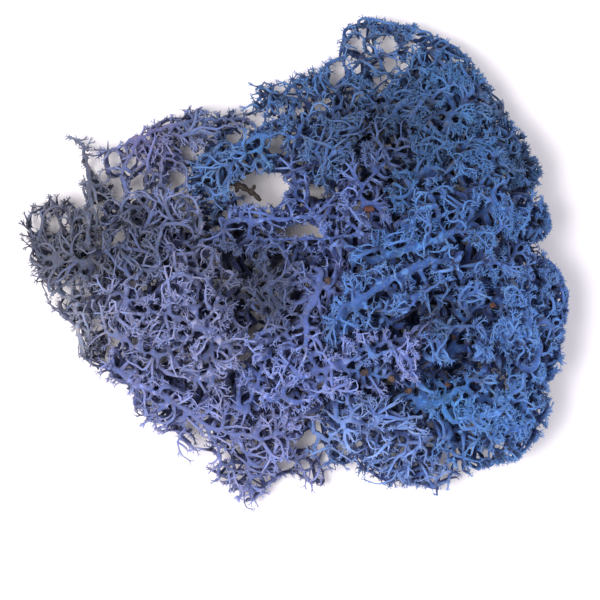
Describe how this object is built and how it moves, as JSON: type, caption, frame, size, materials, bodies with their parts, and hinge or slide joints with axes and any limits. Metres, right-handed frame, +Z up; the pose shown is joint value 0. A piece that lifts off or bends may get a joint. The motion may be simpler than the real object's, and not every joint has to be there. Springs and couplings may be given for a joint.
{
  "type": "reindeer moss clump",
  "caption": "Loose handful of preserved reindeer lichen, dyed blue: tangled, finely forked stalks that end in dense crowns of star-shaped tips, lying on a flat surface",
  "frame": {"origin": "middle of the clump's footprint, on the surface that it lies on", "axes": "+X towards the dense crowned rim, which is along the clump's length, +Z up from the surface"},
  "size_m": [0.0908, 0.0816, 0.0277],
  "materials": {
    "podetium_upper_right": "matt, dyed lichen felt",
    "podetium_lobe_a": "matt, dyed lichen felt",
    "podetium_lobe_b": "matt, dyed lichen felt",
    "podetium_lobe_c": "matt, dyed lichen felt",
    "podetium_lobe_d": "matt, dyed lichen felt",
    "podetium_lobe_e": "matt, dyed lichen felt",
    "podetium_bottom": "matt, dyed lichen felt",
    "podetium_middle": "matt, dyed lichen felt",
    "podetium_lower_middle": "matt, dyed lichen felt",
    "podetium_hub": "matt, dyed lichen felt",
    "podetium_fringe": "matt, dyed lichen felt",
    "podetium_left": "matt, dyed lichen felt",
    "podetium_upper_left": "matt, dyed lichen felt",
    "podetium_frond": "matt, dyed lichen felt",
    "podetium_upper_middle": "matt, dyed lichen felt",
    "dead_twig": "matt dead wood",
    "litter": "matt bark"
  },
  "bodies": {
    "root": {"podetium_upper_right": "podetium_upper_right", "podetium_lobe_a": "podetium_lobe_a", "podetium_lobe_b": "podetium_lobe_b", "podetium_lobe_c": "podetium_lobe_c", "podetium_lobe_d": "podetium_lobe_d", "podetium_lobe_e": "podetium_lobe_e", "podetium_bottom": "podetium_bottom", "podetium_middle": "podetium_middle", "podetium_lower_middle": "podetium_lower_middle", "podetium_hub": "podetium_hub", "podetium_fringe": "podetium_fringe", "podetium_left": "podetium_left", "podetium_upper_left": "podetium_upper_left", "podetium_frond": "podetium_frond", "podetium_upper_middle": "podetium_upper_middle", "dead_twig": "dead_twig", "scrap_1": "litter", "scrap_2": "litter", "scrap_3": "litter", "scrap_4": "litter", "scrap_5": "litter", "scrap_6": "litter", "scrap_7": "litter", "scrap_8": "litter"}
  },
  "joints": []
}
